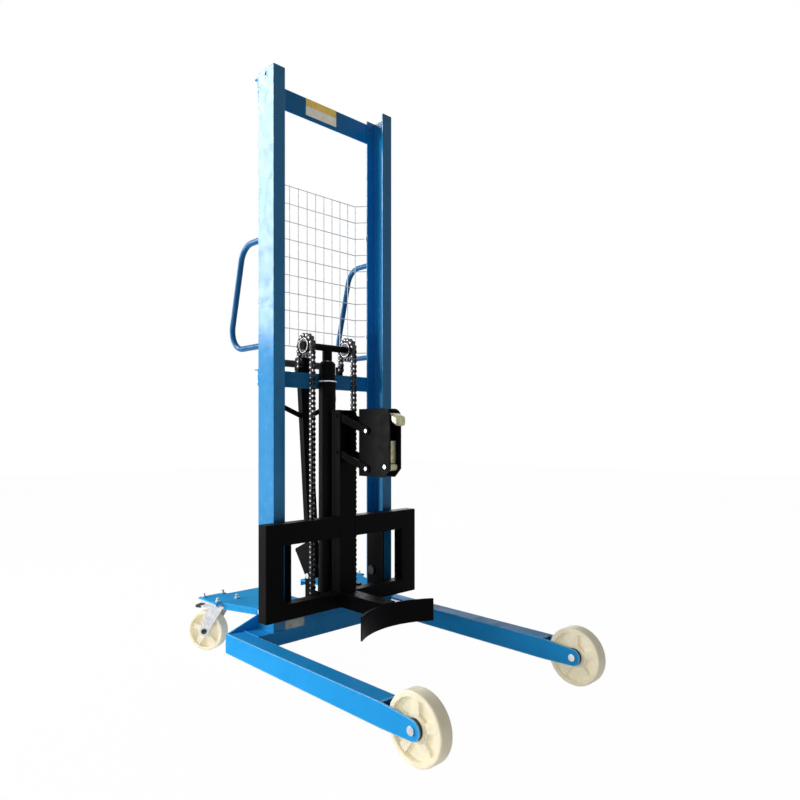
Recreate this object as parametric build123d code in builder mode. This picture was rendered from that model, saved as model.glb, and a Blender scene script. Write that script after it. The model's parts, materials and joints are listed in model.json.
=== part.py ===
"""Hydraulic drum lifting truck: straddle legs, two-channel mast, chain-lifted carriage with a rim clamp.

Millimetres, +Z up, the drum side towards -Y. The origin is on the floor, in the middle of the outline.
"""

import os
from math import atan2, cos, degrees, hypot, radians, sin, sqrt

from build123d import *

# Fits between pieces
run_gap = 0.05
free_gap = 0.5
curve_gap = 0.4

# Heads over their shanks
hex_ratio = 1.75
cap_ratio = 1.5

# Wheels and legs
front_wheel_r = 95
front_wheel_w = 44
front_axle_r = 8
wheel_track = 750
leg_w = 60
leg_h = 70
leg_wall = 5
leg_bottom_z = 63
leg_nose_r = 28
leg_tube_start = 115
leg_tail = 117
wheel_rib_count = 5
rib_start = 90
bearing_r = 28
bearing_w = 12.5
bearing_show = 7.5
front_hub_r = 38
front_bore_r = 12
axle_end_r = 12
axle_end_t = 4
rim_share = 0.16
web_share = 0.16
rib_share = 0.26
shoulder_share = 0.06

# Distances behind the front axle
axle_to_mast = 800
axle_to_swivel = 1129.7

# Mast
mast_w = 567
mast_h = 2132
channel_d = 100
channel_w = 48
channel_t = 5.3
lift_hole_r = 6
lift_hole_drop = 18
beam_t = 4
beam_d = 25
top_beam_h = 80
top_beam_drop = 12
mid_beam_h = 60
mid_beam_drop = 25
beam_stud_r = 6
beam_stud_pitch = 28
beam_stud_len = 38
stud_inset = 21
nut_t = 10

# Base
base_h = 50
base_wall = 5
base_lip_h = 52
base_lip_t = 6
back_plate_t = 8
gusset_rise = 44

# Rear platform and casters
platform_z = 195
platform_t = 6
platform_front_half = 285
platform_rear_half = 340
platform_len = 273
platform_flange_h = 20
platform_flange_t = 4
flange_gap = 5
wing_inner = 95
caster_x = 309
caster_r = 75
caster_w = 45
caster_trail = 53
caster_turn = 28
caster_plate_w = 110
caster_plate_l = 135
caster_plate_t = 6
caster_hole_x = 80
caster_hole_y = 105
caster_bolt_r = 5
caster_race_r = 34
caster_race_h = 12
caster_fork_t = 4
caster_head_h = 8
caster_axle_r = 6
caster_hub_r = 18
bolt_head_t = 6
bolt_top = 16
fork_reach = 32
fork_foot_r = 20
kingpin_r = 8
pedal_w = 30
pedal_t = 6
pedal_reach = 76
pedal_pin_r = 3
pedal_hub_r = 6
pedal_pin_back = 22

# Lift cylinder, crosshead and chains
cylinder_back = 62
barrel_r = 33
bore_r = 26
barrel_h = 897
barrel_floor = 14
foot_w = 92
gland_r = 32
gland_h = 80
gland_chamfer = 9
rod_r = 14
piston_h = 40
rod_show = 2
neck_r = 19
neck_h = 51
bar_r = 13
shaft_r = 12
shaft_half = 117
washer_r = 16
washer_t = 3
chain_x = 100
chain_pitch = 19.05
sprocket_teeth = 13
sprocket_w = 11
sprocket_hub_r = 28
sprocket_hub_w = 26
chain_roller_r = 5.9
chain_plate_h = 18
chain_plate_t = 3
anchor_h = 34
lug_h = 60

# Carriage
carriage_w = 712
carriage_front = 65
carriage_d = 48
carriage_z = 188
carriage_h = 334
carriage_bar_w = 72
carriage_top_bar_h = 75
carriage_low_bar_h = 55
carriage_wall = 4
post_w = 78
post_slot_h = 190
post_top_z = 920
guide_t = 8
guide_inset = 7
guide_len = 95
guide_low_z = 220
guide_h = 285
roller_w = 30
roller_pin_r = 12
pin_head_t = 6
roller_low_z = 273
roller_pitch = 190

# Drum cradle
cradle_r = 290
cradle_chord = 340
cradle_t = 6
cradle_h = 80
cradle_z = 157
cradle_reach = 222
cradle_arm_w = 60
cradle_arm_h = 54

# Rim clamp
link_reach = 163
link_drop = 56
link_pitch = 134
link_t = 6
link_w = 26
link_pin_r = 5
pin_cap_t = 4
post_pin_drop = 23
post_pin_back = 21
clamp_plate_t = 6
clamp_front = 114
clamp_rear = 47
clamp_above = 79
clamp_h = 240
clamp_round = 34
clamp_chamfer = 30
jaw_pin_ahead = 91
jaw_pin_below = 124
jaw_w = 38
jaw_d = 22
jaw_h = 90
jaw_lean = 4
beak_h = 44
mouth_depth = 30

# Pump and tiller
pump_w = 90
pump_d = 100
pump_z = 87
pump_h = 80
ear_t = 8
ear_d = 50
pivot_back = 34
pivot_r = 7
tiller_lean = 4.9
tiller_back = 9
tiller_len = 833
tiller_hub_r = 14
tiller_hub_w = 52
column_w = 46
column_d = 28
column_wall = 3
column_foot = 40
toe_back = 90
toe_rise = 88
toe_r = 10
loop_half = 150
loop_join_drop = 210
loop_shoulder_drop = 148
loop_rise = 8
loop_r = 10
loop_bend = 34
head_box_w = 50
head_box_d = 34
head_box_h = 70
release_w = 12
release_len = 70
release_drop = 30
release_pin_r = 3
release_t = 4
grip_wall = 4
cam_arm = 36
cam_above = 9
cam_r = 10
cheek_t = 5
cheek_top = 125
plunger_r = 9
plunger_head_r = 17
plunger_head_t = 6
plunger_depth = 35
plunger_stroke_room = 34
spring_wire_r = 2
spring_r = 14
spring_turns = 8
spring_len = 98
spring_samples = 48

# Push handles and guard
handle_r = 11
handle_wall = 2
handle_top_z = 1540
handle_low_z = 1152
handle_top_reach = 138
handle_low_reach = 241
handle_bend = 76
mesh_back = 40
mesh_half = 205
mesh_columns = 10
mesh_rows = 9
mesh_low_z = 1167
mesh_row = 68
mesh_wire = 3.5
mesh_wing = 32
mesh_lap = 8

# Places worked out from the sizes above
turn_sin, turn_cos = sin(radians(caster_turn)), cos(radians(caster_turn))
caster_shoulder = shoulder_share * caster_r
caster_rear = (
    (caster_trail + caster_r - caster_shoulder) * turn_cos
    + (caster_w / 2 - caster_shoulder) * turn_sin
    + caster_shoulder
)
front_axle_y = -(axle_to_swivel + caster_rear - front_wheel_r) / 2
front_axle_z = front_wheel_r
swivel_y = front_axle_y + axle_to_swivel
caster_axle_y = swivel_y + caster_trail
mast_front_y = front_axle_y + axle_to_mast
mast_rear_y = mast_front_y + channel_d
leg_top_z = leg_bottom_z + leg_h
leg_x = wheel_track / 2
leg_inner_x = leg_x - leg_w / 2
leg_outer_x = leg_x + leg_w / 2
leg_rear_y = mast_front_y + leg_tail
base_z = leg_top_z - base_h
upright_x = mast_w / 2
back_plate_y = mast_rear_y + back_plate_t
top_beam_z = mast_h - top_beam_drop - top_beam_h
cylinder_y = mast_front_y + cylinder_back
barrel_top_z = leg_top_z + barrel_h
mid_beam_z = barrel_top_z - mid_beam_drop
rod_top_z = barrel_top_z + gland_h + rod_show
crosshead_z = rod_top_z + neck_h
chain_r = chain_pitch / 2 / sin(radians(180 / sprocket_teeth))
front_run_y = cylinder_y - chain_r
rear_run_y = cylinder_y + chain_r
carriage_front_y = mast_front_y - carriage_front
carriage_rear_y = carriage_front_y + carriage_d
roller_r = (channel_d - 2 * channel_t) / 2 - curve_gap
roller_x = upright_x - channel_t - free_gap - roller_w / 2
guide_x = upright_x - channel_w - guide_inset
mid_channel_y = mast_front_y + channel_d / 2
link_pin_y = carriage_front_y + post_pin_back
upper_pin_z = post_top_z - post_pin_drop
head_pin_y = link_pin_y - link_reach
head_pin_z = upper_pin_z - link_drop
link_x = post_w / 2 - carriage_wall - free_gap - link_t
clamp_x = link_x - free_gap - clamp_plate_t
pivot_y = back_plate_y + pivot_back
plunger_y = pivot_y + cam_arm
loop_join = tiller_len - loop_join_drop
loop_shoulder = tiller_len - loop_shoulder_drop
loop_top = tiller_len + loop_rise
pump_top_z = pump_z + pump_h
plunger_top_z = pump_top_z + spring_len + plunger_head_t
cam_z = plunger_top_z + curve_gap + cam_r
pivot_z = cam_z - cam_above
tiller_plane = Plane(
    origin=(0, pivot_y + tiller_back, pivot_z),
    x_dir=(1, 0, 0),
    z_dir=(0, sin(radians(tiller_lean)), cos(radians(tiller_lean))),
)

os.makedirs("parts", exist_ok=True)


def save(piece, label):
    """Labels a finished piece and writes it under its node's name."""
    piece.label = label
    export_step(piece, f"parts/{label}.step")


def side_name(side):
    return "left" if side < 0 else "right"


# Straddle legs, with fork plates around the front wheels
for side in (-1, 1):
    leg_plane = Plane.YZ.offset(side * leg_x)
    with BuildPart() as leg:
        with BuildSketch(leg_plane):
            with Locations((front_axle_y, front_axle_z)):
                Circle(leg_nose_r)
            with BuildLine():
                Polyline(
                    (front_axle_y, front_axle_z - leg_nose_r),
                    (front_axle_y, front_axle_z + leg_nose_r),
                    (front_axle_y + leg_tube_start, leg_top_z),
                    (leg_rear_y, leg_top_z),
                    (leg_rear_y, leg_bottom_z),
                    (front_axle_y + leg_tube_start, leg_bottom_z),
                    close=True,
                )
            make_face()
        extrude(amount=leg_w / 2, both=True)
        with BuildSketch(leg_plane):
            with BuildLine():
                Polyline(
                    (front_axle_y - 2 * leg_nose_r, 0),
                    (front_axle_y - 2 * leg_nose_r, leg_top_z + leg_h),
                    (front_axle_y + leg_tube_start, leg_top_z + leg_h),
                    (front_axle_y + leg_tube_start, leg_top_z - leg_wall),
                    (leg_rear_y - leg_wall, leg_top_z - leg_wall),
                    (leg_rear_y - leg_wall, leg_bottom_z + leg_wall),
                    (front_axle_y + leg_tube_start, leg_bottom_z + leg_wall),
                    (front_axle_y + leg_tube_start, 0),
                    close=True,
                )
            make_face()
        extrude(amount=leg_w / 2 - leg_wall, both=True, mode=Mode.SUBTRACT)
        with BuildSketch(leg_plane):
            with Locations((front_axle_y, front_axle_z)):
                Circle(front_axle_r + run_gap)
        extrude(amount=leg_w, both=True, mode=Mode.SUBTRACT)
    save(leg.part, f"leg_{side_name(side)}")

# Base beam across the legs, with an upright lip between the mast channels
lip_half = upright_x - channel_w - free_gap
with BuildPart() as base_beam:
    with BuildSketch(Plane.YZ.offset(-leg_inner_x)):
        with Locations((mid_channel_y, leg_top_z - base_h / 2)):
            Rectangle(channel_d, base_h)
            Rectangle(channel_d - 2 * base_wall, base_h - 2 * base_wall, mode=Mode.SUBTRACT)
    extrude(amount=2 * leg_inner_x)
    with Locations((0, mast_front_y + base_lip_t / 2, leg_top_z + base_lip_h / 2)):
        Box(2 * lip_half, base_lip_t, base_lip_h)
save(base_beam.part, "base_beam")

# Back plate with sloping gussets that run out over the legs
with BuildPart() as back_plate:
    with BuildSketch(Plane.XZ.offset(-back_plate_y)):
        with BuildLine():
            Polyline(
                (-leg_inner_x, base_z),
                (leg_inner_x, base_z),
                (leg_inner_x, leg_top_z),
                (leg_outer_x, leg_top_z),
                (upright_x, leg_top_z + gusset_rise),
                (upright_x - channel_w, platform_z),
                (channel_w - upright_x, platform_z),
                (-upright_x, leg_top_z + gusset_rise),
                (-leg_outer_x, leg_top_z),
                (-leg_inner_x, leg_top_z),
                close=True,
            )
        make_face()
    extrude(amount=back_plate_t)
save(back_plate.part, "back_plate")

# Rear platform: a wing over each caster, open between them for the pump
ear_front_y = swivel_y - caster_plate_l / 2
platform_rear_y = mast_rear_y + platform_len
flange_half = platform_rear_half - caster_bolt_r
flange_rear_y = ear_front_y - caster_bolt_r
wing_outer = caster_x - caster_plate_w / 2 - flange_gap
wing_len = platform_rear_y - back_plate_y
with BuildPart() as rear_platform:
    with BuildSketch(Plane.XY.offset(platform_z)):
        with BuildLine():
            Polyline(
                (-platform_front_half, mast_rear_y),
                (platform_front_half, mast_rear_y),
                (platform_rear_half, ear_front_y),
                (platform_rear_half, platform_rear_y),
                (-platform_rear_half, platform_rear_y),
                (-platform_rear_half, ear_front_y),
                close=True,
            )
        make_face()
        with Locations((-caster_x, swivel_y), (caster_x, swivel_y)):
            Rectangle(caster_plate_w, caster_plate_l)
        with Locations((0, platform_rear_y - wing_len / 2)):
            Rectangle(2 * wing_inner, wing_len, mode=Mode.SUBTRACT)
        with Locations((-caster_x, swivel_y), (caster_x, swivel_y)):
            with GridLocations(caster_hole_x, caster_hole_y, 2, 2):
                Circle(caster_bolt_r + free_gap, mode=Mode.SUBTRACT)
    extrude(amount=platform_t)
    for side in (-1, 1):
        with BuildSketch(Plane.XY.offset(platform_z)):
            with BuildLine():
                Polyline(
                    (side * platform_front_half, back_plate_y),
                    (side * flange_half, flange_rear_y),
                    (side * (flange_half - platform_flange_t), flange_rear_y),
                    (side * (platform_front_half - platform_flange_t), back_plate_y),
                    close=True,
                )
            make_face()
        extrude(amount=-platform_flange_h)
        wing_mid_x = side * (wing_inner + wing_outer) / 2
        with Locations((wing_mid_x, platform_rear_y - platform_flange_t / 2, platform_z - platform_flange_h / 2)):
            Box(wing_outer - wing_inner, platform_flange_t, platform_flange_h)
save(rear_platform.part, "rear_platform")

# Mast channels, open towards each other, with a lifting hole near the top
for side in (-1, 1):
    with BuildPart() as upright:
        with BuildSketch(Plane.XY.offset(leg_top_z)):
            with Locations((side * (upright_x - channel_w / 2), mid_channel_y)):
                Rectangle(channel_w, channel_d)
            with Locations((side * (upright_x - channel_t - channel_w / 2), mid_channel_y)):
                Rectangle(channel_w, channel_d - 2 * channel_t, mode=Mode.SUBTRACT)
        extrude(amount=mast_h - leg_top_z)
        with Locations(Plane.YZ.offset(side * (upright_x - channel_t / 2))):
            with Locations((mid_channel_y, mast_h - lift_hole_drop)):
                Cylinder(lift_hole_r, 2 * channel_t, mode=Mode.SUBTRACT)
    save(upright.part, f"upright_{side_name(side)}")

# Cross beams, angles bolted behind the rear flanges
stud_x = upright_x - stud_inset
beam_names = {"top_beam": (top_beam_z, top_beam_h), "mid_beam": (mid_beam_z, mid_beam_h)}
for beam_name, (low_z, height) in beam_names.items():
    with BuildPart() as beam:
        with BuildSketch(Plane.YZ.offset(-upright_x)):
            with Locations((mast_rear_y + beam_d / 2, low_z + height / 2)):
                Rectangle(beam_d, height)
            with Locations((mast_rear_y + beam_t + beam_d / 2, low_z + (height - beam_t) / 2)):
                Rectangle(beam_d, height - beam_t, mode=Mode.SUBTRACT)
        extrude(amount=mast_w)
        with Locations(Plane.XZ.offset(-mast_rear_y)):
            with Locations((0, low_z + height / 2)):
                with GridLocations(2 * stud_x, beam_stud_pitch, 2, 2):
                    Cylinder(beam_stud_r + free_gap, 4 * beam_t, mode=Mode.SUBTRACT)
    save(beam.part, beam_name)

# Studs on the rear flanges, with a nut on each behind the beam
with BuildPart() as beam_studs:
    for low_z, height in beam_names.values():
        with Locations((0, mast_rear_y, low_z + height / 2)):
            with Locations(Plane.XZ):
                with GridLocations(2 * stud_x, beam_stud_pitch, 2, 2):
                    Cylinder(beam_stud_r, beam_stud_len, align=(Align.CENTER, Align.CENTER, Align.MAX))
        with BuildSketch(Plane.XZ.offset(-(mast_rear_y + beam_t))):
            with Locations((0, low_z + height / 2)):
                with GridLocations(2 * stud_x, beam_stud_pitch, 2, 2):
                    RegularPolygon(hex_ratio * beam_stud_r, 6)
        extrude(amount=-nut_t)
save(beam_studs.part, "beam_studs")

# Push handles: bent tubes standing behind the mast
with BuildPart() as push_handles:
    for side in (-1, 1):
        handle_x = side * (upright_x - stud_inset)
        with BuildLine() as handle_path:
            FilletPolyline(
                (handle_x, mast_rear_y, handle_top_z),
                (handle_x, mast_rear_y + handle_top_reach, handle_top_z),
                (handle_x, mast_rear_y + handle_low_reach, handle_low_z),
                (handle_x, mast_rear_y, handle_low_z),
                radius=handle_bend,
            )
        with BuildSketch(Plane.XZ.offset(-mast_rear_y)):
            with Locations((handle_x, handle_top_z)):
                Circle(handle_r)
                Circle(handle_r - handle_wall, mode=Mode.SUBTRACT)
        sweep(path=handle_path.wire())
save(push_handles.part, "push_handles")

# Guard of welded wire behind the mast, with wings bent forward to the rear flanges
mesh_y = mast_rear_y + mesh_back
mesh_column = 2 * mesh_half / mesh_columns
wing_x = mesh_half + mesh_wing
with BuildPart() as guard_mesh:
    for row in range(mesh_rows + 1):
        with BuildSketch(Plane.XY.offset(mesh_low_z + row * mesh_row)):
            with BuildLine():
                Polyline(
                    (-wing_x - mesh_lap, mast_rear_y + mesh_wire / 2),
                    (-wing_x, mast_rear_y + mesh_wire / 2),
                    (-mesh_half, mesh_y),
                    (mesh_half, mesh_y),
                    (wing_x, mast_rear_y + mesh_wire / 2),
                    (wing_x + mesh_lap, mast_rear_y + mesh_wire / 2),
                )
            trace(line_width=mesh_wire)
        extrude(amount=mesh_wire / 2, both=True)
    wire_places = [(-mesh_half + column * mesh_column, mesh_y) for column in range(mesh_columns + 1)]
    wire_places += [(side * (wing_x + mesh_lap), mast_rear_y + mesh_wire / 2) for side in (-1, 1)]
    with Locations([(x, y, mesh_low_z + mesh_rows * mesh_row / 2) for x, y in wire_places]):
        Box(mesh_wire, mesh_wire, mesh_rows * mesh_row + mesh_wire)
save(guard_mesh.part, "guard_mesh")

# Lift cylinder: barrel, gland, rod and piston
with BuildPart() as cylinder_barrel:
    with BuildSketch(Plane.XY.offset(leg_top_z)):
        with Locations((0, cylinder_y)):
            Circle(barrel_r)
    extrude(amount=barrel_h)
    with BuildSketch(Plane.XY.offset(leg_top_z + barrel_floor)):
        with Locations((0, cylinder_y)):
            Circle(bore_r)
    extrude(amount=barrel_h, mode=Mode.SUBTRACT)
    with Locations((0, mid_channel_y, leg_top_z + base_wall)):
        Box(foot_w, channel_d - 4 * base_lip_t, 2 * base_wall)
save(cylinder_barrel.part, "cylinder_barrel")

with BuildPart() as cylinder_gland:
    with BuildSketch(Plane.XY.offset(barrel_top_z)):
        with Locations((0, cylinder_y)):
            Circle(gland_r)
            Circle(rod_r + run_gap, mode=Mode.SUBTRACT)
    extrude(amount=gland_h)
    chamfer(cylinder_gland.faces().sort_by(Axis.Z)[-1].outer_wire().edges(), gland_chamfer)
save(cylinder_gland.part, "cylinder_gland")

piston_z = leg_top_z + barrel_floor
with BuildPart() as piston:
    with Locations((0, cylinder_y, piston_z)):
        Cylinder(bore_r - run_gap, piston_h, align=(Align.CENTER, Align.CENTER, Align.MIN))
save(piston.part, "piston")

with BuildPart() as piston_rod:
    with Locations((0, cylinder_y, piston_z + piston_h)):
        Cylinder(rod_r, rod_top_z - piston_z - piston_h, align=(Align.CENTER, Align.CENTER, Align.MIN))
save(piston_rod.part, "piston_rod")

# Crosshead: a neck on the rod under a cross bar, with the sprocket shaft and its end washers
bar_half = chain_x - sprocket_hub_w / 2 - free_gap
with BuildPart() as crosshead:
    with Locations((0, cylinder_y, rod_top_z)):
        Cylinder(neck_r, neck_h, align=(Align.CENTER, Align.CENTER, Align.MIN))
    with Locations((0, cylinder_y, crosshead_z)):
        Cylinder(bar_r, 2 * bar_half, rotation=(0, 90, 0))
        Cylinder(shaft_r, 2 * shaft_half, rotation=(0, 90, 0))
    for side in (-1, 1):
        with Locations((side * (shaft_half - washer_t / 2), cylinder_y, crosshead_z)):
            Cylinder(washer_r, washer_t, rotation=(0, 90, 0))
save(crosshead.part, "crosshead")

# Chain sprockets, with a seat for each chain roller
with BuildPart() as sprockets:
    for side in (-1, 1):
        with BuildSketch(Plane.YZ.offset(side * chain_x)):
            with Locations((cylinder_y, crosshead_z)):
                Circle(chain_r + chain_roller_r)
                with PolarLocations(chain_r, sprocket_teeth):
                    Circle(chain_roller_r + curve_gap, mode=Mode.SUBTRACT)
                Circle(shaft_r + run_gap, mode=Mode.SUBTRACT)
        extrude(amount=sprocket_w / 2, both=True)
        with BuildSketch(Plane.YZ.offset(side * chain_x)):
            with Locations((cylinder_y, crosshead_z)):
                Circle(sprocket_hub_r)
                Circle(shaft_r + run_gap, mode=Mode.SUBTRACT)
        extrude(amount=sprocket_hub_w / 2, both=True)
save(sprockets.part, "sprockets")

# Lift chains: half rings over the sprockets, and straight runs in front and behind
strip_offset = sprocket_w / 2 + free_gap + chain_plate_t / 2
strip_xs = [side * chain_x + edge * strip_offset for side in (-1, 1) for edge in (-1, 1)]
with BuildPart() as chain_wraps:
    for strip_x in strip_xs:
        with BuildSketch(Plane.YZ.offset(strip_x)):
            with Locations((cylinder_y, crosshead_z)):
                Circle(chain_r + chain_plate_h / 2)
                Circle(chain_r - chain_plate_h / 2, mode=Mode.SUBTRACT)
            with Locations((cylinder_y, crosshead_z + chain_r)):
                Rectangle(4 * chain_r, 2 * chain_r, mode=Mode.INTERSECT)
        extrude(amount=chain_plate_t / 2, both=True)
save(chain_wraps.part, "chain_wraps")

lug_top_z = carriage_z + lug_h
anchor_top_z = mid_beam_z + mid_beam_h + anchor_h
sprocket_reach = chain_r + 2 * chain_roller_r
run_places = {"chain_front_runs": (front_run_y, lug_top_z), "chain_rear_runs": (rear_run_y, anchor_top_z)}
for run_name, (run_y, run_low_z) in run_places.items():
    first_roller_z = run_low_z + chain_pitch / 2
    roller_count = 1 + max(0, int((crosshead_z - sprocket_reach - first_roller_z) / chain_pitch))
    with BuildPart() as chain_run:
        for strip_x in strip_xs:
            with Locations((strip_x, run_y, (run_low_z + crosshead_z) / 2)):
                Box(chain_plate_t, chain_plate_h, crosshead_z - run_low_z)
        for side in (-1, 1):
            rollers = [(side * chain_x, run_y, first_roller_z + i * chain_pitch) for i in range(roller_count)]
            with Locations(rollers):
                Cylinder(chain_roller_r, 2 * strip_offset, rotation=(0, 90, 0))
    save(chain_run.part, run_name)

# Chain ends: anchors on the middle beam and lugs behind the carriage
chain_end_w = 2 * strip_offset + chain_plate_t
with BuildPart() as chain_anchors:
    for side in (-1, 1):
        with Locations((side * chain_x, mast_rear_y + beam_d / 2, mid_beam_z + mid_beam_h + anchor_h / 2)):
            Box(chain_end_w, beam_d, anchor_h)
save(chain_anchors.part, "chain_anchors")

lug_rear_y = front_run_y + chain_plate_h / 2
lug_z = leg_top_z + base_lip_h + lug_h / 4
with BuildPart() as chain_lugs:
    for side in (-1, 1):
        with Locations((side * chain_x, (carriage_rear_y + lug_rear_y) / 2, (lug_z + lug_top_z) / 2)):
            Box(chain_end_w, lug_rear_y - carriage_rear_y, lug_top_z - lug_z)
save(chain_lugs.part, "chain_lugs")

# Carriage: a welded box-section frame on each side of the post
carriage_y = carriage_front_y + carriage_d / 2
frame_half_w = (carriage_w - post_w) / 2
frame_mid_x = (carriage_w + post_w) / 4
window_w = frame_half_w - carriage_bar_w
window_h = carriage_h - carriage_top_bar_h - carriage_low_bar_h
window_z = carriage_z + carriage_low_bar_h + window_h / 2
top_bar_z = carriage_z + carriage_h - carriage_top_bar_h / 2
low_bar_z = carriage_z + carriage_low_bar_h / 2
hollow_d = carriage_d - 2 * carriage_wall
with BuildPart() as carriage_frame:
    for side in (-1, 1):
        with Locations((side * frame_mid_x, carriage_y, carriage_z + carriage_h / 2)):
            Box(frame_half_w, carriage_d, carriage_h)
        with Locations((side * (post_w + window_w) / 2, carriage_y, window_z)):
            Box(window_w, 2 * carriage_d, window_h, mode=Mode.SUBTRACT)
        hollow_x = side * (frame_mid_x - carriage_wall)
        with Locations((hollow_x, carriage_y, top_bar_z)):
            Box(frame_half_w, hollow_d, carriage_top_bar_h - 2 * carriage_wall, mode=Mode.SUBTRACT)
        with Locations((hollow_x, carriage_y, low_bar_z)):
            Box(frame_half_w, hollow_d, carriage_low_bar_h - 2 * carriage_wall, mode=Mode.SUBTRACT)
        with Locations((side * (carriage_w - carriage_bar_w) / 2, carriage_y, carriage_z + carriage_h / 2)):
            Box(
                carriage_bar_w - 2 * carriage_wall,
                hollow_d,
                carriage_h - 2 * carriage_wall,
                mode=Mode.SUBTRACT,
            )
save(carriage_frame.part, "carriage_frame")

# Post of the carriage, open in front at its top, with cross holes for the clamp links
link_pin_zs = (upper_pin_z, upper_pin_z - link_pitch)
head_pin_zs = (head_pin_z, head_pin_z - link_pitch)
post_h = post_top_z - carriage_z
with BuildPart() as carriage_post:
    with Locations((0, carriage_y, carriage_z + post_h / 2)):
        Box(post_w, carriage_d, post_h)
    with Locations((0, carriage_y, carriage_z + post_h / 2 - carriage_wall)):
        Box(post_w - 2 * carriage_wall, hollow_d, post_h, mode=Mode.SUBTRACT)
    with Locations((0, (carriage_front_y + link_pin_y) / 2, post_top_z - post_slot_h / 2)):
        Box(post_w - 2 * carriage_wall, post_pin_back, post_slot_h, mode=Mode.SUBTRACT)
    with Locations([(0, link_pin_y, pin_z) for pin_z in link_pin_zs]):
        Cylinder(link_pin_r + run_gap, 2 * post_w, rotation=(0, 90, 0), mode=Mode.SUBTRACT)
save(carriage_post.part, "carriage_post")

# Guide plates that reach into the mast and carry the roller pins
roller_zs = (roller_low_z, roller_low_z + roller_pitch)
with BuildPart() as guide_plates:
    for side in (-1, 1):
        plate_x = side * (guide_x - guide_t / 2)
        with Locations((plate_x, carriage_rear_y + guide_len / 2, guide_low_z + guide_h / 2)):
            Box(guide_t, guide_len, guide_h)
        with Locations([(plate_x, mid_channel_y, z) for z in roller_zs]):
            Cylinder(roller_pin_r + run_gap, 2 * guide_t, rotation=(0, 90, 0), mode=Mode.SUBTRACT)
save(guide_plates.part, "guide_plates")

pin_inner_x = guide_x - guide_t
pin_outer_x = roller_x + roller_w / 2 - free_gap
with BuildPart() as roller_pins:
    for side in (-1, 1):
        for roller_z in roller_zs:
            with Locations((side * (pin_inner_x + pin_outer_x) / 2, mid_channel_y, roller_z)):
                Cylinder(roller_pin_r, pin_outer_x - pin_inner_x, rotation=(0, 90, 0))
            with Locations((side * (pin_inner_x - pin_head_t / 2), mid_channel_y, roller_z)):
                Cylinder(cap_ratio * roller_pin_r, pin_head_t, rotation=(0, 90, 0))
save(roller_pins.part, "roller_pins")

for roller_name, roller_z in zip(("lower_rollers", "upper_rollers"), roller_zs):
    with BuildPart() as guide_rollers:
        for side in (-1, 1):
            with Locations((side * roller_x, mid_channel_y, roller_z)):
                Cylinder(roller_r, roller_w, rotation=(0, 90, 0))
                Cylinder(roller_pin_r + run_gap, 2 * roller_w, rotation=(0, 90, 0), mode=Mode.SUBTRACT)
    save(guide_rollers.part, roller_name)

# Curved cradle that the drum leans on, with its arm from the post
cradle_mid_y = carriage_front_y - cradle_reach
cradle_centre_y = cradle_mid_y - cradle_r
cradle_sag = cradle_r - sqrt(cradle_r**2 - cradle_chord**2 / 4)
with BuildPart() as drum_cradle:
    with BuildSketch(Plane.XY.offset(cradle_z)):
        with Locations((0, cradle_centre_y)):
            Circle(cradle_r + cradle_t)
            Circle(cradle_r, mode=Mode.SUBTRACT)
        with Locations((0, cradle_mid_y)):
            Rectangle(cradle_chord, 2 * cradle_sag + 4 * cradle_t, mode=Mode.INTERSECT)
    extrude(amount=cradle_h)
    with BuildSketch(Plane.XY.offset(carriage_z)):
        with Locations((0, (cradle_mid_y + carriage_front_y) / 2)):
            Rectangle(cradle_arm_w, cradle_reach)
        with Locations((0, cradle_centre_y)):
            Circle(cradle_r, mode=Mode.SUBTRACT)
    extrude(amount=cradle_arm_h)
save(drum_cradle.part, "drum_cradle")

# Parallel links between the post and the clamp head
link_len = hypot(link_reach, link_drop)
link_angle = degrees(atan2(link_drop, link_reach))
link_fits = {"upper_links": (upper_pin_z, run_gap), "lower_links": (upper_pin_z - link_pitch, free_gap)}
for link_name, (pin_z, head_fit) in link_fits.items():
    with BuildPart() as links:
        for side in (-1, 1):
            with BuildSketch(Plane.YZ.offset(side * (link_x + link_t / 2))):
                with Locations(((link_pin_y + head_pin_y) / 2, pin_z - link_drop / 2)):
                    SlotCenterToCenter(link_len, link_w, rotation=link_angle)
                with Locations((link_pin_y, pin_z)):
                    Circle(link_pin_r + run_gap, mode=Mode.SUBTRACT)
                with Locations((head_pin_y, pin_z - link_drop)):
                    Circle(link_pin_r + head_fit, mode=Mode.SUBTRACT)
            extrude(amount=link_t / 2, both=True)
    save(links.part, link_name)

link_pin_half = link_x + link_t + free_gap
pin_cap_r = cap_ratio * link_pin_r
with BuildPart() as post_pins:
    with Locations([(0, link_pin_y, pin_z) for pin_z in link_pin_zs]):
        Cylinder(link_pin_r, post_w, rotation=(0, 90, 0))
    for side in (-1, 1):
        cap_x = side * (post_w + pin_cap_t) / 2
        with Locations([(cap_x, link_pin_y, pin_z) for pin_z in link_pin_zs]):
            Cylinder(pin_cap_r, pin_cap_t, rotation=(0, 90, 0))
save(post_pins.part, "post_pins")

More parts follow.
